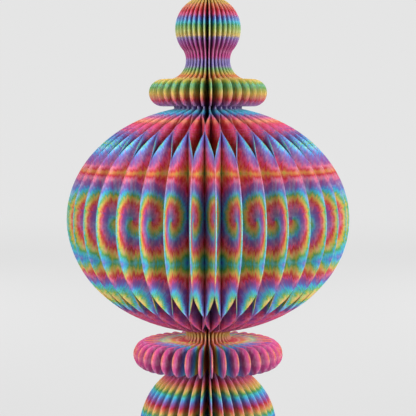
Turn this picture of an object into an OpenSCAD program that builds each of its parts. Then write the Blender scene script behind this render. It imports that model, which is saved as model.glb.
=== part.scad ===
// Paper finial ornament: die-cut card leaves, stuck together in pairs and fanned round a bound spine.
// Millimetres, +Z up, origin at the top end of the spine.

/* [Card] */
// Thickness of one card leaf
sheet_t = 0.25; // [0.2:0.01:0.35]
// Film of glue between pieces that are stuck to each other
glue_film = 0.02; // [0.01:0.01:0.05]
// Number of leaf pairs round the spine
pair_count = 36; // [30:1:40]
// Turn of the first leaf pair from the front
first_turn = 3; // [-5:0.5:5]

/* [Spine] */
// Diameter of the bore through the binding
bore_d = 4.4; // [3:0.1:6]
// Least wall of the rolled binding
binding_wall = 0.75; // [0.5:0.05:1.5]

/* [Top ball and neck] */
// Radius of the top ball
top_ball_r = 16.35; // [13:0.05:20]
// Radius of the upper neck at its narrowest
upper_neck_r = 11; // [8:0.25:13]
// Radius of the hollow curve of the upper neck
upper_neck_hollow_r = 9.6; // [7:0.1:12]

/* [Upper disc] */
// Radius of the upper disc
upper_disc_r = 29.5; // [25:0.25:35]
// Height of the upper disc
upper_disc_h = 13.5; // [10:0.25:18]
// Radius of the notch between the upper disc and the bulb
notch_r = 17; // [12:0.25:20]

/* [Bulb] */
// Radius of the bulb at its widest
bulb_r = 70.75; // [64:0.25:80]
// Height of the bulb from pole to pole
bulb_h = 113.5; // [100:0.5:130]
// Depth by which the bulb's pole stands in the upper disc
bulb_sink = 0.4; // [0.2:0.1:1.5]
// Radius at which the two leaves of a pair part
part_r = 26; // [22:0.5:30]
// Radius at which a leaf meets the next pair
meet_r = 38.75; // [36:0.25:42]
// Width of the glued line where it meets the next pair
meet_w = 6.25; // [3:0.25:8]
// Radius at which the two leaves of a pair close again
close_r = 58.25; // [53:0.25:62]

/* [Lower neck and disc] */
// Radius of the lower neck at its narrowest
lower_neck_r = 11; // [8:0.25:14]
// Radius of the hollow curve of the lower neck
lower_neck_hollow_r = 3; // [2:0.1:5]
// Radius of the lower disc
lower_disc_r = 37.75; // [32:0.25:44]
// Height of the lower disc
lower_disc_h = 14; // [10:0.25:18]

/* [Lower ball] */
// Radius of the lower ball
lower_ball_r = 34.8; // [30:0.1:40]
// Depth by which the ball's pole stands in the lower disc
lower_ball_sink = 3.3; // [2:0.1:5]

/* [Hidden] */
$fn = 96;
// How far neighbouring curves of the outline run into each other
bite = 0.1;
// Angle between neighbouring pairs, and from a pair to the glued line beside it
pair_step = 360 / pair_count;
half_step = pair_step / 2;

// Spine: the leaves stand where neighbouring pairs just clear each other, or on the binding if that is wider
fan_r = (sheet_t * cos(half_step) + glue_film / 2) / sin(half_step);
binding_r = max(fan_r, bore_d / 2 + binding_wall);
leaf_inner_r = binding_r + glue_film;

// Heights of the forms, stacked from the top down
top_ball_z = -sqrt(pow(top_ball_r, 2) - pow(leaf_inner_r, 2));
upper_neck_x = upper_neck_r + upper_neck_hollow_r;
upper_neck_reach = top_ball_r + upper_neck_hollow_r - bite;
upper_neck_drop = sqrt(pow(upper_neck_reach, 2) - pow(upper_neck_x, 2));
upper_neck_z = top_ball_z - upper_neck_drop;
upper_neck_top_z = top_ball_z - upper_neck_drop * top_ball_r / upper_neck_reach;
upper_disc_z = upper_neck_z - upper_neck_hollow_r - upper_disc_h / 2 + 2 * bite;
bulb_top_z = upper_disc_z - upper_disc_h / 2 + bulb_sink;
bulb_z = bulb_top_z - bulb_h / 2;
bulb_end_z = bulb_top_z - bulb_h;
lower_neck_x = lower_neck_r + lower_neck_hollow_r;
lower_neck_z = bulb_z - bulb_height_at(lower_neck_x) - lower_neck_hollow_r + bite;
lower_disc_z = lower_neck_z - lower_neck_hollow_r - lower_disc_h / 2 + 2 * bite;
lower_ball_z = lower_disc_z - lower_disc_h / 2 + lower_ball_sink - lower_ball_r;
top_z = top_ball_z + top_ball_r;
bottom_z = lower_ball_z - lower_ball_r;

// How deep the necks reach into the bulb, where the leaves of a pair still lie together
bulb_root = bulb_h / 10;

// Height of the bulb's rim above its middle, at a radius
function bulb_height_at(r) = bulb_h / 2 * sqrt(1 - pow(r / bulb_r, 2));

function pair_name(i) = str("leaf_pair_", i < 9 ? "0" : "", i + 1);

// A disc's half section: a flat web with a round rim
module disc_section(r, h, z) {
    translate([0, z - h / 2 + bite])
        square([r - h / 2, h - 2 * bite]);
    translate([r - h / 2, z])
        circle(d = h);
}

// A neck's half section, hollowed by a circle, between two heights
module neck_section(hollow_x, hollow_z, hollow_r, low_z, high_z) {
    difference() {
        translate([0, low_z])
            square([hollow_x, high_z - low_z]);
        translate([hollow_x, hollow_z])
            circle(r = hollow_r);
    }
}

// The forms above the bulb
module upper_section() {
    translate([0, top_ball_z])
        circle(r = top_ball_r);
    neck_section(upper_neck_x, upper_neck_z, upper_neck_hollow_r, upper_disc_z, upper_neck_top_z);
    disc_section(upper_disc_r, upper_disc_h, upper_disc_z);
    translate([0, bulb_top_z - bulb_root])
        square([notch_r, upper_disc_z - bulb_top_z + bulb_root]);
}

// The forms below the bulb
module lower_section() {
    neck_section(lower_neck_x, lower_neck_z, lower_neck_hollow_r, lower_disc_z, bulb_end_z + bulb_root);
    disc_section(lower_disc_r, lower_disc_h, lower_disc_z);
    translate([0, lower_ball_z])
        circle(r = lower_ball_r);
}

// The part of a pair where both leaves lie flat together, cut off at the spine
module flat_leaves() {
    rotate([90, 0, 0])
        linear_extrude(height = 2 * sheet_t, center = true)
            intersection() {
                union() {
                    upper_section();
                    lower_section();
                }
                translate([leaf_inner_r, bottom_z])
                    square([bulb_r, top_z - bottom_z]);
            }
}

// One leaf of the bulb seen from above: along its own pair, over to the next pair and back
module leaf_plan() {
    meet_y = glue_film / 2 / cos(half_step);
    outer_face = [
        [leaf_inner_r, sheet_t],
        [part_r, sheet_t],
        [meet_r * cos(half_step), meet_r * sin(half_step) - meet_y],
        [(meet_r + meet_w) * cos(half_step), (meet_r + meet_w) * sin(half_step) - meet_y],
        [close_r, sheet_t],
        [bulb_r + sheet_t, sheet_t]
    ];
    last = len(outer_face) - 1;
    inner_face = [for (i = [last : -1 : 0]) outer_face[i] - [0, sheet_t]];
    polygon(concat(outer_face, inner_face));
}

// The part of a pair in the bulb: both bent leaves, cut to the bulb's rim
module bulb_leaves() {
    translate([0, 0, bulb_z])
        intersection() {
            linear_extrude(height = bulb_h, center = true) {
                leaf_plan();
                mirror([0, 1]) leaf_plan();
            }
            scale([1, 1, bulb_h / 2 / bulb_r])
                rotate([90, 0, 0])
                    cylinder(r = bulb_r, h = bulb_r, center = true);
        }
}

module leaf_pair(i) {
    color("mediumvioletred")
        rotate([0, 0, first_turn - 90 + i * pair_step]) {
            flat_leaves();
            bulb_leaves();
        }
}

module spine_binding() {
    binding_h = sqrt(pow(lower_ball_r, 2) - pow(leaf_inner_r, 2)) - lower_ball_z;
    color("wheat")
        translate([0, 0, -binding_h])
            difference() {
                cylinder(r = binding_r, h = binding_h);
                translate([0, 0, -bite])
                    cylinder(d = bore_d, h = binding_h + 2 * bite);
            }
}

for (i = [0 : pair_count - 1])
    leaf_pair(i);
spine_binding();
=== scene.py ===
import math
import random

import bpy
import numpy as np
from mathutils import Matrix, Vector


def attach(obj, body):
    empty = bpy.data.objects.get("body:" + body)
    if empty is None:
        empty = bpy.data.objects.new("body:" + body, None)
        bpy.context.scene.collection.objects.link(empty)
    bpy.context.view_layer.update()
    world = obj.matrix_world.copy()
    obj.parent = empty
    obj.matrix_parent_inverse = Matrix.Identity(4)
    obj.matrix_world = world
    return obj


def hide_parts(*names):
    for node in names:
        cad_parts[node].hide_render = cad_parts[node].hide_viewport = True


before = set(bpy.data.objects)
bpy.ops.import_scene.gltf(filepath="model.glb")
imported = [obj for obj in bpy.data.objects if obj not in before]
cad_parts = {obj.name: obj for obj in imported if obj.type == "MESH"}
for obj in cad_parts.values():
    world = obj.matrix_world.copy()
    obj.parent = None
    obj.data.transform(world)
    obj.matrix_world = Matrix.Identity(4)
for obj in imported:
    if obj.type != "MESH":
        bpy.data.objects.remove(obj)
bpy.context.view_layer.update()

# Driving sizes of the ornament in millimetres, as in the construction
MM = 0.001
SHEET_T = 0.25
GLUE_FILM = 0.02
PAIR_COUNT = 36
FIRST_TURN = 3
BORE_D = 4.4
BINDING_WALL = 0.75
TOP_BALL_R = 16.35
UPPER_NECK_R = 11
UPPER_NECK_HOLLOW_R = 9.6
UPPER_DISC_R = 29.5
UPPER_DISC_H = 13.5
NOTCH_R = 17
BULB_R = 70.75
BULB_H = 113.5
BULB_SINK = 0.4
PART_R = 26
MEET_R = 38.75
MEET_W = 6.25
CLOSE_R = 58.25
LOWER_NECK_R = 11
LOWER_NECK_HOLLOW_R = 3
LOWER_DISC_R = 37.75
LOWER_DISC_H = 14
LOWER_BALL_R = 34.8
LOWER_BALL_SINK = 3.3
BITE = 0.1

# Spine: the leaves stand where neighbouring pairs just clear each other, or on the binding if that is wider
PAIR_STEP = 360 / PAIR_COUNT
HALF_STEP = math.radians(PAIR_STEP / 2)
FAN_R = (SHEET_T * math.cos(HALF_STEP) + GLUE_FILM / 2) / math.sin(HALF_STEP)
LEAF_INNER_R = max(FAN_R, BORE_D / 2 + BINDING_WALL) + GLUE_FILM

# Heights of the forms, stacked from the top down
SPINE_TOP_Z = 0
TOP_BALL_Z = SPINE_TOP_Z - math.sqrt(TOP_BALL_R ** 2 - LEAF_INNER_R ** 2)
UPPER_NECK_X = UPPER_NECK_R + UPPER_NECK_HOLLOW_R
UPPER_NECK_REACH = TOP_BALL_R + UPPER_NECK_HOLLOW_R - BITE
UPPER_NECK_Z = TOP_BALL_Z - math.sqrt(UPPER_NECK_REACH ** 2 - UPPER_NECK_X ** 2)
UPPER_DISC_Z = UPPER_NECK_Z - UPPER_NECK_HOLLOW_R - UPPER_DISC_H / 2 + 2 * BITE
BULB_TOP_Z = UPPER_DISC_Z - UPPER_DISC_H / 2 + BULB_SINK
BULB_Z = BULB_TOP_Z - BULB_H / 2
BULB_END_Z = BULB_TOP_Z - BULB_H
BULB_ROOT = BULB_H / 10
LOWER_NECK_X = LOWER_NECK_R + LOWER_NECK_HOLLOW_R
BULB_DROP_TO_NECK = BULB_H / 2 * math.sqrt(1 - (LOWER_NECK_X / BULB_R) ** 2)
LOWER_NECK_Z = BULB_Z - BULB_DROP_TO_NECK - LOWER_NECK_HOLLOW_R + BITE
LOWER_DISC_Z = LOWER_NECK_Z - LOWER_NECK_HOLLOW_R - LOWER_DISC_H / 2 + 2 * BITE
LOWER_BALL_Z = LOWER_DISC_Z - LOWER_DISC_H / 2 + LOWER_BALL_SINK - LOWER_BALL_R
SPINE_END_Z = LOWER_BALL_Z - math.sqrt(LOWER_BALL_R ** 2 - LEAF_INNER_R ** 2)

# How far the upper neck reaches above its middle, into the top ball
UPPER_NECK_RISE = 5.9

# Rows of a leaf: the middle and half the height of each curve of its outline, and the steps from end to end
OUTLINE_CURVES = [
    (TOP_BALL_Z, TOP_BALL_R, 32),
    (UPPER_NECK_Z, UPPER_NECK_HOLLOW_R, 20),
    (UPPER_DISC_Z, UPPER_DISC_H / 2, 20),
    (BULB_Z, BULB_H / 2, 66),
    (LOWER_NECK_Z, LOWER_NECK_HOLLOW_R, 12),
    (LOWER_DISC_Z, LOWER_DISC_H / 2, 20),
    (LOWER_BALL_Z, LOWER_BALL_R, 48),
]

# How closely a change from one form to the next is searched for, and the least distances between points
SEARCH_STEP = 0.25
SEARCH_END = 0.002
CHANGE_MARGIN = 0.004
END_MARGIN = 0.02
LEAST_ROW = 0.006
LEAST_LEAF = 0.01
SAME_PLACE = 1e-6

# Creases of a bulb leaf seen from above: radius, and offset from the middle of its pair
MEET_END_R = MEET_R + MEET_W
MEET_FILM = GLUE_FILM / 2 / math.cos(HALF_STEP)
CREASES = [
    (LEAF_INNER_R, SHEET_T),
    (PART_R, SHEET_T),
    (MEET_R * math.cos(HALF_STEP), MEET_R * math.sin(HALF_STEP) - MEET_FILM),
    (MEET_END_R * math.cos(HALF_STEP), MEET_END_R * math.sin(HALF_STEP) - MEET_FILM),
    (CLOSE_R, SHEET_T),
    (BULB_R + SHEET_T, SHEET_T),
]

# Columns of a leaf: a few where it is plain, and some on each side of a crease, where the card is rounded
PLAIN_COLUMNS = (6, 10, 14, 18, 22, 34, 51, 63, 67)
BEND_SOFTNESS = 1.8
BEND_COLUMNS = 3
BEND_SAMPLES = 8
PAST_RIM = 1

# The slit between the two leaves of a pair, on each side, and the angle from which an edge is sharp
LEAF_GAP = 0.006
SHARP_ANGLE = 35

# Leans in degrees of the bulb's flaps that face the camera, by the number of their pair
SEEN_LEANS = {
    31: -0.9, 32: 0, 33: 0.6, 34: 0.5, 35: 0.4, 0: 0.1,
    1: -0.3, 2: -0.8, 3: -1.5, 4: -0.6, 5: -0.6, 6: -0.9,
}

# Largest leans of the other flaps and of the other forms, and where the leans of those forms set in
LEAN_SEED = 36
BULB_LEAN = 0.35
REST_LEAN = 0.3
REST_LEAN_R = 8
REST_LEAN_LENGTH = 20


# The outline of a leaf

def circle_reach(z, centre_z, radius):
    return math.sqrt(max(radius ** 2 - (z - centre_z) ** 2, 0))


def disc_reach(z, r, h, centre_z):
    if abs(z - centre_z) > h / 2:
        return 0
    return r - h / 2 + circle_reach(z, centre_z, h / 2)


def neck_reach(z, hollow_x, hollow_r, centre_z, low_z, high_z):
    if not low_z <= z <= high_z:
        return 0
    return hollow_x - circle_reach(z, centre_z, hollow_r)


def bulb_reach(z):
    rise = (z - BULB_Z) / (BULB_H / 2)
    return BULB_R * math.sqrt(max(1 - rise ** 2, 0))


def form_reaches(z):
    """How far each form of the finial reaches from the spine at a height."""
    upper_neck_top = UPPER_NECK_Z + UPPER_NECK_RISE
    lower_neck_top = BULB_END_Z + BULB_ROOT
    return {
        "top ball": circle_reach(z, TOP_BALL_Z, TOP_BALL_R),
        "upper neck": neck_reach(
            z, UPPER_NECK_X, UPPER_NECK_HOLLOW_R, UPPER_NECK_Z, UPPER_DISC_Z, upper_neck_top),
        "upper disc": disc_reach(z, UPPER_DISC_R, UPPER_DISC_H, UPPER_DISC_Z),
        "notch": NOTCH_R if BULB_TOP_Z - BULB_ROOT < z < UPPER_DISC_Z else 0,
        "bulb": bulb_reach(z),
        "lower neck": neck_reach(
            z, LOWER_NECK_X, LOWER_NECK_HOLLOW_R, LOWER_NECK_Z, LOWER_DISC_Z, lower_neck_top),
        "lower disc": disc_reach(z, LOWER_DISC_R, LOWER_DISC_H, LOWER_DISC_Z),
        "lower ball": circle_reach(z, LOWER_BALL_Z, LOWER_BALL_R),
    }


def rim_radius(z):
    return max(form_reaches(z).values())


def leading_form(z):
    reaches = form_reaches(z)
    return max(reaches, key=reaches.get)


def arc_heights(centre_z, half_height, count):
    return [centre_z + half_height * math.cos(math.pi * i / count) for i in range(count + 1)]


def change_heights():
    """Heights just above and just below each place where another form becomes the widest."""
    heights = []
    z = SPINE_TOP_Z
    while z > SPINE_END_Z:
        high, low = z, z - SEARCH_STEP
        if leading_form(high) != leading_form(low):
            while high - low > SEARCH_END:
                middle = (high + low) / 2
                if leading_form(middle) == leading_form(high):
                    high = middle
                else:
                    low = middle
            heights += [high + CHANGE_MARGIN, low - CHANGE_MARGIN]
        z -= SEARCH_STEP
    return heights


def leaf_heights():
    """Heights of the rows of a leaf from the top down, close together on the curves."""
    top_z = SPINE_TOP_Z - END_MARGIN
    end_z = SPINE_END_Z + END_MARGIN
    heights = change_heights()
    for centre_z, half_height, count in OUTLINE_CURVES:
        heights += arc_heights(centre_z, half_height, count)
    heights = [h for h in heights if end_z < h < top_z]
    rows = [top_z]
    for height in sorted(heights + [end_z], reverse=True):
        if rows[-1] - height > LEAST_ROW:
            rows.append(height)
    return rows


# The leaves

def leaf_columns():
    """Radii of the columns of a leaf, close together at the creases."""
    columns = {LEAF_INNER_R, *PLAIN_COLUMNS, BULB_R + PAST_RIM}
    for crease_r, _ in CREASES[1:-1]:
        for i in range(-BEND_COLUMNS, BEND_COLUMNS + 1):
            columns.add(crease_r + i * BEND_SOFTNESS / BEND_COLUMNS)
    return sorted(columns)


def bulb_offset(r):
    """Offset of a bulb leaf's outer face from the middle of its pair, with rounded creases."""
    radii, offsets = zip(*CREASES)
    samples = r + BEND_SOFTNESS * np.arange(-BEND_SAMPLES, BEND_SAMPLES + 1) / BEND_SAMPLES
    return float(np.mean(np.interp(samples, radii, offsets)))


def outer_face():
    """Points (x, y, z) in millimetres of a leaf's outer face, and their numbers row by row."""
    columns = leaf_columns()
    points = []
    rows = []
    for z in leaf_heights():
        rim = max(rim_radius(z), LEAF_INNER_R + LEAST_LEAF)
        in_bulb = leading_form(z) == "bulb"
        numbers = []
        for column in columns:
            if column > rim and numbers and points[numbers[-1]][0] >= rim - SAME_PLACE:
                numbers.append(numbers[-1])
                continue
            r = min(column, rim)
            numbers.append(len(points))
            points.append((r, bulb_offset(r) if in_bulb else SHEET_T, z))
        rows.append(numbers)
    return np.array(points), rows


def grid_faces(rows):
    """Faces between neighbouring rows of points, without those that have shrunk to a line."""
    faces = []
    for upper, lower in zip(rows, rows[1:]):
        for j in range(len(upper) - 1):
            corners = [upper[j], upper[j + 1], lower[j + 1], lower[j]]
            distinct = [c for i, c in enumerate(corners) if c != corners[i - 1]]
            if len(distinct) >= 3:
                faces.append(distinct)
    return faces


def border_edges(faces):
    """Edges of one face only, in the direction of that face."""
    edges = [edge for face in faces for edge in zip(face, face[1:] + face[:1])]
    known = set(edges)
    return [(a, b) for a, b in edges if (b, a) not in known]


def flipped(faces, first):
    """Faces of a copy whose points are numbered from first, looking the other way."""
    return [[corner + first for corner in reversed(face)] for face in faces]


def leaf_shell():
    """One leaf as a closed shell: its points, its faces, and which faces are cut edges."""
    outer, rows = outer_face()
    inner = outer - [0, SHEET_T - LEAF_GAP, 0]
    count = len(outer)
    faces = grid_faces(rows)
    edge_faces = [[b, a, a + count, b + count] for a, b in border_edges(faces)]
    is_edge = [0] * (2 * len(faces)) + [1] * len(edge_faces)
    return np.vstack([outer, inner]), faces + flipped(faces, count) + edge_faces, is_edge


def turned(points, turn):
    """Points turned about the spine, by one turn in radians or by one for each point."""
    x, y, z = points.T
    turned_x = x * np.cos(turn) - y * np.sin(turn)
    turned_y = x * np.sin(turn) + y * np.cos(turn)
    return np.column_stack([turned_x, turned_y, z])


def leaning(points, bulb_lean, rest_lean):
    """Points of a pair whose outer part leans a little, as hand-fanned card stands."""
    x, _, z = points.T
    in_bulb = np.abs(z - BULB_Z) < BULB_H / 2
    bulb_share = np.clip((x - MEET_END_R) / (BULB_R - MEET_END_R), 0, 1)
    rest_share = np.clip((x - REST_LEAN_R) / REST_LEAN_LENGTH, 0, 1)
    leans = np.where(in_bulb, bulb_lean * bulb_share, rest_lean * rest_share)
    return turned(points, np.radians(leans))


def new_object(name, data):
    thing = bpy.data.objects.new(name, data)
    bpy.context.scene.collection.objects.link(thing)
    return thing


def add_leaf_pair(index, shell, materials, leans):
    """Both leaves of a pair as one piece, turned to its place round the spine."""
    points, faces, is_edge = shell
    both = np.vstack([points, points * [1, -1, 1]])
    turn = math.radians(FIRST_TURN - 90 + index * PAIR_STEP)
    placed = turned(leaning(both, *leans), turn) * MM
    mesh = bpy.data.meshes.new("leaf_card_%02d" % (index + 1))
    mesh.from_pydata(placed.tolist(), [], faces + flipped(faces, len(points)))
    for material in materials:
        mesh.materials.append(material)
    mesh.polygons.foreach_set("material_index", is_edge + is_edge)
    mesh.shade_smooth()
    mesh.set_sharp_from_angle(angle=math.radians(SHARP_ANGLE))
    mesh.update()
    piece = new_object(mesh.name, mesh)
    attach(piece, "root")
    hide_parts("leaf_pair_%02d" % (index + 1))


# Materials

def srgb(red, green, blue):
    """A colour given in 0 to 255 as linear light."""
    linear = []
    for value in (red, green, blue):
        share = value / 255
        linear.append(share / 12.92 if share <= 0.04045 else ((share + 0.055) / 1.055) ** 2.4)
    return (*linear, 1)


class NodeSheet:
    """A material's nodes, with short ways to add to them."""

    def __init__(self, name):
        self.material = bpy.data.materials.new(name)
        self.material.use_nodes = True
        self.nodes = self.material.node_tree.nodes
        self.links = self.material.node_tree.links
        self.shader = self.nodes["Principled BSDF"]

    def plug(self, socket, value):
        """Links a socket to another one, or sets it to a plain value."""
        if isinstance(value, bpy.types.NodeSocket):
            self.links.new(value, socket)
        else:
            socket.default_value = value

    def maths(self, operation, first, second=0.0, third=0.0):
        node = self.nodes.new("ShaderNodeMath")
        node.operation = operation
        for socket, value in zip(node.inputs, (first, second, third)):
            self.plug(socket, value)
        return node.outputs[0]

    def add(self, first, second):
        return self.maths("ADD", first, second)

    def less(self, first, second):
        return self.maths("SUBTRACT", first, second)

    def times(self, first, second):
        return self.maths("MULTIPLY", first, second)

    def between(self, value, start, end, soft=True):
        """0 at start and 1 at end, whichever of the two is higher, and no further beyond them."""
        node = self.nodes.new("ShaderNodeMapRange")
        node.interpolation_type = "SMOOTHSTEP" if soft else "LINEAR"
        self.plug(node.inputs["Value"], value)
        node.inputs["From Min"].default_value = start
        node.inputs["From Max"].default_value = end
        return node.outputs["Result"]

    def noise(self, across, along, deep, detail=2.0):
        """Noise from 0 to 1 at a point."""
        point = self.nodes.new("ShaderNodeCombineXYZ")
        for socket, value in zip(point.inputs, (across, along, deep)):
            self.plug(socket, value)
        node = self.nodes.new("ShaderNodeTexNoise")
        node.inputs["Scale"].default_value = 1.0
        node.inputs["Detail"].default_value = detail
        self.links.new(point.outputs[0], node.inputs["Vector"])
        return node.outputs["Fac"]

    def pattern(self, across, along, kind):
        """Noise of a kind, which gives its fineness across and along, its slice and its detail."""
        fine_across, fine_along, deep, detail = kind
        return self.noise(self.times(across, fine_across), self.times(along, fine_along), deep, detail)

    def shaken(self, value, noise, reach):
        """A value moved to and fro by noise, by up to half a reach."""
        return self.add(value, self.times(self.less(noise, 0.5), reach))

    def ramp(self, share, stops):
        node = self.nodes.new("ShaderNodeValToRGB")
        elements = node.color_ramp.elements
        while len(elements) > 1:
            elements.remove(elements[-1])
        elements[0].position, elements[0].color = stops[0]
        for position, colour in stops[1:]:
            elements.new(position).color = colour
        self.plug(node.inputs["Fac"], share)
        return node.outputs["Color"]

    def tint(self, share, first, second, way="MIX"):
        node = self.nodes.new("ShaderNodeMix")
        node.data_type = "RGBA"
        node.blend_type = way
        self.plug(node.inputs["Factor"], share)
        self.plug(node.inputs["A"], first)
        self.plug(node.inputs["B"], second)
        return node.outputs["Result"]

    def place(self):
        """The place of a point on the piece: three values in millimetres."""
        coordinates = self.nodes.new("ShaderNodeTexCoord")
        apart = self.nodes.new("ShaderNodeSeparateXYZ")
        self.links.new(coordinates.outputs["Object"], apart.inputs[0])
        return [self.times(axis, 1 / MM) for axis in apart.outputs]


# The dyes of the print; plum is a darker dye that in the upper neck also serves as painted shade
DYES = {
    "red": srgb(186, 40, 62),
    "orange": srgb(206, 110, 70),
    "yellow": srgb(202, 168, 80),
    "lime": srgb(150, 170, 68),
    "green": srgb(82, 156, 84),
    "jade": srgb(74, 168, 130),
    "teal": srgb(66, 178, 198),
    "blue": srgb(76, 130, 198),
    "violet": srgb(110, 94, 164),
    "purple": srgb(142, 72, 138),
    # Plum: a dark purple-pink, part print and part painted shade
    "plum_and_shade": srgb(150, 56, 108),
    "magenta": srgb(178, 64, 130),
    "pink": srgb(206, 80, 126),
}

# The round in which the dyes follow each other in the swirls, as shares of a turn
SWIRL_DYES = [
    (0.00, "red"), (0.11, "orange"), (0.215, "yellow"), (0.31, "lime"), (0.375, "green"), (0.475, "teal"),
    (0.55, "blue"), (0.64, "violet"), (0.81, "purple"), (0.91, "pink"), (1.00, "red"),
]

# Bands of dye by height in the small forms, and by distance from the spine in the lower disc; the plum band
# in the upper neck is partly painted shade
TOP_BANDS = [
    (-61.5, "orange"), (-60.2, "pink"), (-59.2, "purple"), (-58.3, "blue"), (-57.1, "teal"),
    (-55.5, "violet"), (-53.3, "purple"), (-51.2, "red"), (-48.4, "yellow"), (-45.2, "green"),
    (-44.2, "jade"), (-43, "lime"), (-41.4, "yellow"), (-40, "orange"), (-38.4, "yellow"),
    # Painted shade: the plum band at the upper neck is darker than the print, for the shade there
    (-35.9, "green"), (-34.8, "violet"), (-31.8, "violet"), (-30.6, "magenta"), (-26, "plum_and_shade"),
    (-22.8, "purple"), (-21.2, "violet"), (-20, "yellow"), (-17, "lime"), (-15, "green"),
    (-13.5, "teal"), (-12.4, "blue"), (-10.8, "violet"), (-9.4, "pink"), (-7.6, "red"),
    (-4.8, "orange"), (-3, "yellow"),
]
NECK_BANDS = [
    (-172.5, "red"), (-171, "orange"), (-169, "yellow"), (-167, "orange"), (-165.5, "pink"),
    (-164.5, "purple"),
]
DISC_TOP_BANDS = [
    (15, "red"), (18, "orange"), (21, "yellow"), (23, "lime"), (25, "orange"), (31, "orange"),
    (36, "pink"), (40, "violet"), (44, "purple"), (50, "pink"),
]
DISC_BANDS = [
    (15, "orange"), (17.5, "yellow"), (19.5, "lime"), (21.5, "teal"), (24.5, "blue"),
    (27, "violet"), (30.5, "plum_and_shade"), (34, "magenta"), (36.4, "pink"), (37.5, "orange"),
]
BALL_BANDS = [
    (-214.6, "red"), (-213.4, "purple"), (-212, "violet"), (-210.5, "blue"), (-209, "teal"),
    (-207.4, "green"), (-205.8, "yellow"), (-204.3, "orange"), (-202.9, "red"), (-201.4, "purple"),
    (-200.2, "violet"), (-198.9, "blue"), (-197.6, "teal"), (-196.2, "green"), (-194.6, "yellow"),
    (-192.8, "orange"), (-190.8, "pink"), (-189.4, "plum_and_shade"), (-188.2, "purple"),
]

# Heights at which one part of the print begins to give way to the next below it, and has done so
SWIRL_BORDER = (-60.5, -62.5)
NECK_BORDER = (-164.5, -165.2)
DISC_TOP_BORDER = (-171.5, -172.1)
DISC_BORDER = (-172.4, -172.9)
BALL_BORDER = (-186.1, -186.7)

# The lower ball repeats its bands to and fro about the height where they end
BALL_MIRROR_Z = BALL_BANDS[0][0]
BALL_MIRROR_STEP = BALL_BANDS[-1][0] - BALL_BANDS[0][0]

# The lower disc: its bands slope, and those of its top face lie in patches and move on towards the front
DISC_SLOPE = 0.35
DISC_SLOPE_Z = -177
DISC_FRONT = (-4, -14)
DISC_FRONT_SHIFT = 20

# The swirls of the bulb: their eye, the lines about which they are mirrored, and how they wind
EYE_R = 59
EYE_CORE = 0.5
EYE_DROP = 22.1
FOLD_R = 31.5
FOLD_SOFTNESS = 62
MIRROR_Z = -86.1
MIRROR_STEP = 42.3
RIM_STRETCH = 4.5
RIM_STRETCH_POWER = 4
SQUARENESS = 2.13
WINDING = 0.07
SWELL = 0.058
SWELL_LENGTH = 22
FIRST_DYE = 0.265

# Shifts of the swirls' dyes, in shares of a round: near the rim, in the open cells and at the mirror line
HIGH_ZONE = (BULB_Z + 30, BULB_Z + 37)
LOW_ZONE = (BULB_Z - 27, BULB_Z - 35)
CELL_ZONE = (44, 34)
CREASE_ZONE = (1.8, 0)
HIGH_RIM_SHIFT = 0.1
LOW_RIM_SHIFT = 0.12
LOW_CELL_SHIFT = -0.25
CREASE_SHIFT = 0.08

# Streaks of the swirls: how many lie side by side, how soon they end, and how far they reach
SWIRL_STREAKS = 18
SWIRL_STREAK_ENDS = 0.14
SWIRL_STREAK_REACH = 6

# Noise of the papers: fineness across and along, slice and detail
STREAK_NOISE = (0.8, 0.1, 1.5, 2)
FLECK_NOISE = (1.3, 1, 8.5, 1)
PATCH_NOISE = (0.1, 0.1, 4.5, 2)
CLOUD_NOISE = (0.5, 0.35, 12.5, 3)
GRAIN_NOISE = (9, 9, 3.5, 3)
FIBRE_NOISE = (2, 0.6, 2.5, 3)
STREAK_REACH = 3
FLECK_REACH = 1.6
PATCH_REACH = 16
CLOUD_RANGE = (0.4, 0.75)
CLOUD_SHARE = 0.2
CLOUD_TINT = srgb(236, 226, 220)
GRAIN_DEPTH = 0.00004

# Finish of the printed faces, of the cut edges and of the binding; the cut edges are also darkened with
# painted shade
CARD_ROUGHNESS = 0.5
CARD_GLOSS = 0.3
CARD_GRAIN = 0.15
EDGE_ROUGHNESS = 0.8
EDGE_GRAIN = 0.2
EDGE_TINT = srgb(246, 240, 232)
EDGE_TINT_SHARE = 0.06
# Painted shade: a grey by which the cut edges' colour is multiplied, so they show darker than their
# lighting makes them
EDGE_PAINTED_SHADE = (0.65, 0.65, 0.65, 1)
BINDING_ROUGHNESS = 0.85
BINDING_GRAIN = 0.2
BINDING_R = 3
BINDING_DARK = srgb(226, 205, 170)
BINDING_PALE = srgb(240, 226, 200)
FIBRE_RANGE = (0.3, 0.7)


def band_colour(sheet, value, bands):
    """Colour of bands of dye along a value, each running into the next."""
    low, high = bands[0][0], bands[-1][0]
    stops = [((place - low) / (high - low), DYES[dye]) for place, dye in bands]
    return sheet.ramp(sheet.between(value, low, high, soft=False), stops)


def swirl_shift(sheet, r, z, drop):
    """How far the round of dyes is shifted at a place in the swirls."""
    high = sheet.between(z, *HIGH_ZONE)
    low = sheet.between(z, *LOW_ZONE)
    in_cell = sheet.between(r, *CELL_ZONE)
    rim_shift = sheet.add(sheet.times(high, HIGH_RIM_SHIFT), sheet.times(low, LOW_RIM_SHIFT))
    rim_shift = sheet.times(rim_shift, sheet.less(1.0, in_cell))
    cell_shift = sheet.times(sheet.times(low, in_cell), LOW_CELL_SHIFT)
    crease_shift = sheet.times(sheet.between(drop, *CREASE_ZONE), CREASE_SHIFT)
    return sheet.add(sheet.add(rim_shift, cell_shift), crease_shift)


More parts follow.
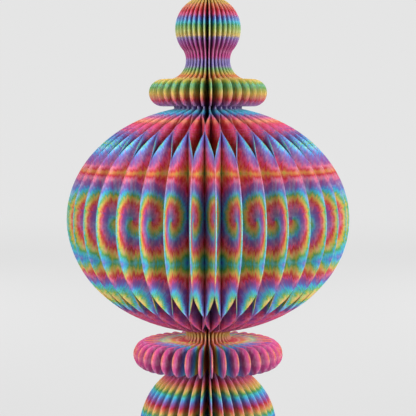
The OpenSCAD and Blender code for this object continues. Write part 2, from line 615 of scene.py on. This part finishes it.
def swirl_colour(sheet, r, z):
    """Colour of the mirrored swirls of the bulb, with streaks that run out from their eyes."""
    past_fold = sheet.less(r, FOLD_R)
    folded_r = sheet.maths("SMOOTH_MAX", past_fold, sheet.times(past_fold, -1.0), FOLD_SOFTNESS)
    out = sheet.add(folded_r, FOLD_R - EYE_R)
    near_rim = sheet.between(out, 0.0, BULB_R - EYE_R, soft=False)
    out = sheet.add(out, sheet.times(sheet.maths("POWER", near_rim, RIM_STRETCH_POWER), RIM_STRETCH))
    drop = sheet.maths("PINGPONG", sheet.less(MIRROR_Z, z), MIRROR_STEP)
    up = sheet.less(EYE_DROP, drop)

    out_part = sheet.maths("POWER", sheet.maths("ABSOLUTE", out), SQUARENESS)
    up_part = sheet.maths("POWER", sheet.maths("ABSOLUTE", up), SQUARENESS)
    distance = sheet.maths("POWER", sheet.add(out_part, up_part), 1 / SQUARENESS)

    from_core = sheet.add(distance, EYE_CORE)
    streak_out = sheet.times(sheet.maths("DIVIDE", out, from_core), SWIRL_STREAKS)
    streak_up = sheet.times(sheet.maths("DIVIDE", up, from_core), SWIRL_STREAKS)
    streak = sheet.noise(streak_out, streak_up, sheet.times(distance, SWIRL_STREAK_ENDS))
    distance = sheet.maths("MAXIMUM", sheet.shaken(distance, streak, SWIRL_STREAK_REACH), 0.0)

    angle = sheet.times(sheet.maths("ARCTAN2", up, out), 1 / (2 * math.pi))
    swell = sheet.times(sheet.maths("SINE", sheet.times(distance, 2 * math.pi / SWELL_LENGTH)), SWELL)
    wound = sheet.less(sheet.times(distance, WINDING), swell)
    shift = sheet.add(swirl_shift(sheet, r, z, drop), FIRST_DYE)
    turn = sheet.add(sheet.add(wound, angle), shift)
    stops = [(share, DYES[dye]) for share, dye in SWIRL_DYES]
    return sheet.ramp(sheet.maths("FRACT", turn), stops)


def dye_colour(sheet):
    """Colour of the tie-dye print, with the distance to the spine and the height that it comes from."""
    x, y, z = sheet.place()
    r = sheet.maths("SQRT", sheet.add(sheet.times(x, x), sheet.times(y, y)))
    streak_z = sheet.shaken(z, sheet.pattern(r, z, STREAK_NOISE), STREAK_REACH)
    fleck_z = sheet.shaken(z, sheet.pattern(r, z, FLECK_NOISE), FLECK_REACH)

    disc_r = sheet.add(r, sheet.times(sheet.less(streak_z, DISC_SLOPE_Z), DISC_SLOPE))
    disc_front = sheet.times(sheet.between(y, *DISC_FRONT), DISC_FRONT_SHIFT)
    disc_top_r = sheet.add(sheet.shaken(r, sheet.pattern(x, y, PATCH_NOISE), PATCH_REACH), disc_front)
    ball_rise = sheet.maths("PINGPONG", sheet.less(streak_z, BALL_MIRROR_Z), BALL_MIRROR_STEP)
    ball_z = sheet.add(ball_rise, BALL_MIRROR_Z)

    colour = band_colour(sheet, streak_z, TOP_BANDS)
    parts_below = [
        (SWIRL_BORDER, swirl_colour(sheet, r, fleck_z)),
        (NECK_BORDER, band_colour(sheet, streak_z, NECK_BANDS)),
        (DISC_TOP_BORDER, band_colour(sheet, disc_top_r, DISC_TOP_BANDS)),
        (DISC_BORDER, band_colour(sheet, disc_r, DISC_BANDS)),
        (BALL_BORDER, band_colour(sheet, ball_z, BALL_BANDS)),
    ]
    for border, part_colour in parts_below:
        colour = sheet.tint(sheet.between(z, *border), colour, part_colour)

    cloud = sheet.between(sheet.pattern(r, z, CLOUD_NOISE), *CLOUD_RANGE)
    return sheet.tint(sheet.times(cloud, CLOUD_SHARE), colour, CLOUD_TINT), r, z


def finished_paper(sheet, colour, roughness, across, along, grain):
    """A paper with its colour, its roughness and a fine grain."""
    sheet.plug(sheet.shader.inputs["Base Color"], colour)
    sheet.shader.inputs["Roughness"].default_value = roughness
    bump = sheet.nodes.new("ShaderNodeBump")
    bump.inputs["Strength"].default_value = grain
    bump.inputs["Distance"].default_value = GRAIN_DEPTH
    sheet.links.new(sheet.pattern(across, along, GRAIN_NOISE), bump.inputs["Height"])
    sheet.links.new(bump.outputs["Normal"], sheet.shader.inputs["Normal"])
    return sheet.material


def printed_card():
    sheet = NodeSheet("printed card")
    colour, r, z = dye_colour(sheet)
    sheet.shader.inputs["Specular IOR Level"].default_value = CARD_GLOSS
    return finished_paper(sheet, colour, CARD_ROUGHNESS, r, z, CARD_GRAIN)


def cut_edge():
    sheet = NodeSheet("cut edge")
    colour, r, z = dye_colour(sheet)
    colour = sheet.tint(EDGE_TINT_SHARE, colour, EDGE_TINT)
    # Painted shade: the cut edges' colour is multiplied by a grey to darken them
    colour = sheet.tint(1.0, colour, EDGE_PAINTED_SHADE, "MULTIPLY")
    return finished_paper(sheet, colour, EDGE_ROUGHNESS, r, z, EDGE_GRAIN)


def binding_paper():
    sheet = NodeSheet("binding paper")
    x, y, z = sheet.place()
    around = sheet.times(sheet.maths("ARCTAN2", y, x), BINDING_R)
    fibre = sheet.between(sheet.pattern(around, z, FIBRE_NOISE), *FIBRE_RANGE)
    colour = sheet.tint(fibre, BINDING_DARK, BINDING_PALE)
    return finished_paper(sheet, colour, BINDING_ROUGHNESS, around, z, BINDING_GRAIN)


# The ornament

def build_ornament():
    rng = random.Random(LEAN_SEED)
    leans = []
    for _ in range(PAIR_COUNT):
        leans.append((rng.uniform(-BULB_LEAN, BULB_LEAN), rng.uniform(-REST_LEAN, REST_LEAN)))
    for index, bulb_lean in SEEN_LEANS.items():
        leans[index] = (bulb_lean, leans[index][1])
    materials = [printed_card(), cut_edge()]
    shell = leaf_shell()
    for index in range(PAIR_COUNT):
        add_leaf_pair(index, shell, materials, leans[index])
    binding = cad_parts["spine_binding"]
    binding.data.materials.clear()
    binding.data.materials.append(binding_paper())


# The studio, in metres and watts
BACKGROUND = srgb(229, 229, 229)
WORLD_LIGHT = srgb(86, 86, 88)
FLOOR = srgb(203, 203, 203)
FLOOR_ROUGHNESS = 0.9
FLOOR_HALF = 6
FLOOR_GAP = 0.0005
FLOOR_GLOW = 0.85
FLOOR_GLOW_FADE = (0.4, 2.0)
LAMP_SIZE = 0.5
LAMP_TARGET = (0, 0, -0.11)
LAMPS = [
    ("key", (0.55, -0.85, 0.12), 13.5),
    ("fill", (-0.55, -0.85, 0.12), 9.8),
    ("back right", (0.7, 0.8, 0.12), 9),
    ("back left", (-0.7, 0.8, 0.12), 9),
]
CAMERA_PLACE = (0, -0.7, -0.0572)
CAMERA_TILT = 3.951
CAMERA_LENS = 120.8
CAMERA_SENSOR = 36


def background_ray(nodes, links):
    """1 for the rays in which the pale background is seen, straight, mirrored or through a piece."""
    path = nodes.new("ShaderNodeLightPath")
    seen = path.outputs["Is Camera Ray"]
    for ray in ("Is Glossy Ray", "Is Transmission Ray"):
        either = nodes.new("ShaderNodeMath")
        either.operation = "MAXIMUM"
        links.new(seen, either.inputs[0])
        links.new(path.outputs[ray], either.inputs[1])
        seen = either.outputs[0]
    return seen


def floor_paper():
    """A floor that takes the ornament's shadow and fades into the background far away."""
    sheet = NodeSheet("studio floor")
    sheet.shader.inputs["Base Color"].default_value = FLOOR
    sheet.shader.inputs["Roughness"].default_value = FLOOR_ROUGHNESS
    glow = sheet.nodes.new("ShaderNodeEmission")
    glow.inputs["Color"].default_value = BACKGROUND
    coordinates = sheet.nodes.new("ShaderNodeTexCoord")
    length = sheet.nodes.new("ShaderNodeVectorMath")
    length.operation = "LENGTH"
    sheet.links.new(coordinates.outputs["Object"], length.inputs[0])
    far = sheet.between(length.outputs["Value"], *FLOOR_GLOW_FADE)
    glow_share = sheet.add(FLOOR_GLOW, sheet.times(far, 1 - FLOOR_GLOW))
    glow_share = sheet.times(background_ray(sheet.nodes, sheet.links), glow_share)
    mix = sheet.nodes.new("ShaderNodeMixShader")
    sheet.links.new(glow_share, mix.inputs[0])
    sheet.links.new(sheet.shader.outputs[0], mix.inputs[1])
    sheet.links.new(glow.outputs[0], mix.inputs[2])
    sheet.links.new(mix.outputs[0], sheet.nodes["Material Output"].inputs["Surface"])
    return sheet.material


def add_floor():
    z = SPINE_END_Z * MM - FLOOR_GAP
    corners = [(x * FLOOR_HALF, y * FLOOR_HALF, z) for x, y in ((-1, -1), (1, -1), (1, 1), (-1, 1))]
    mesh = bpy.data.meshes.new("floor")
    mesh.from_pydata(corners, [], [(0, 1, 2, 3)])
    mesh.materials.append(floor_paper())
    floor = new_object("floor", mesh)


def add_world():
    world = bpy.data.worlds.new("studio")
    bpy.context.scene.world = world
    world.use_nodes = True
    nodes, links = world.node_tree.nodes, world.node_tree.links
    mix = nodes.new("ShaderNodeMix")
    mix.data_type = "RGBA"
    mix.inputs["A"].default_value = WORLD_LIGHT
    mix.inputs["B"].default_value = BACKGROUND
    links.new(background_ray(nodes, links), mix.inputs["Factor"])
    links.new(mix.outputs["Result"], nodes["Background"].inputs["Color"])
    nodes["Background"].inputs["Strength"].default_value = 1.0


def add_softbox(name, place, power):
    light = bpy.data.lights.new(name, "AREA")
    light.shape = "SQUARE"
    light.size = LAMP_SIZE
    light.energy = power
    lamp = new_object(name, light)
    lamp.location = place
    lamp.rotation_euler = (Vector(LAMP_TARGET) - Vector(place)).to_track_quat("-Z", "Y").to_euler()


def add_camera():
    data = bpy.data.cameras.new("camera")
    data.sensor_width = CAMERA_SENSOR
    data.lens = CAMERA_LENS
    camera = new_object("camera", data)
    camera.location = CAMERA_PLACE
    camera.rotation_euler = (math.radians(90 - CAMERA_TILT), 0, 0)
    bpy.context.scene.camera = camera


build_ornament()
add_floor()
add_world()
for lamp_name, lamp_place, lamp_power in LAMPS:
    add_softbox(lamp_name, lamp_place, lamp_power)
add_camera()
bpy.context.scene.view_settings.view_transform = "Standard"
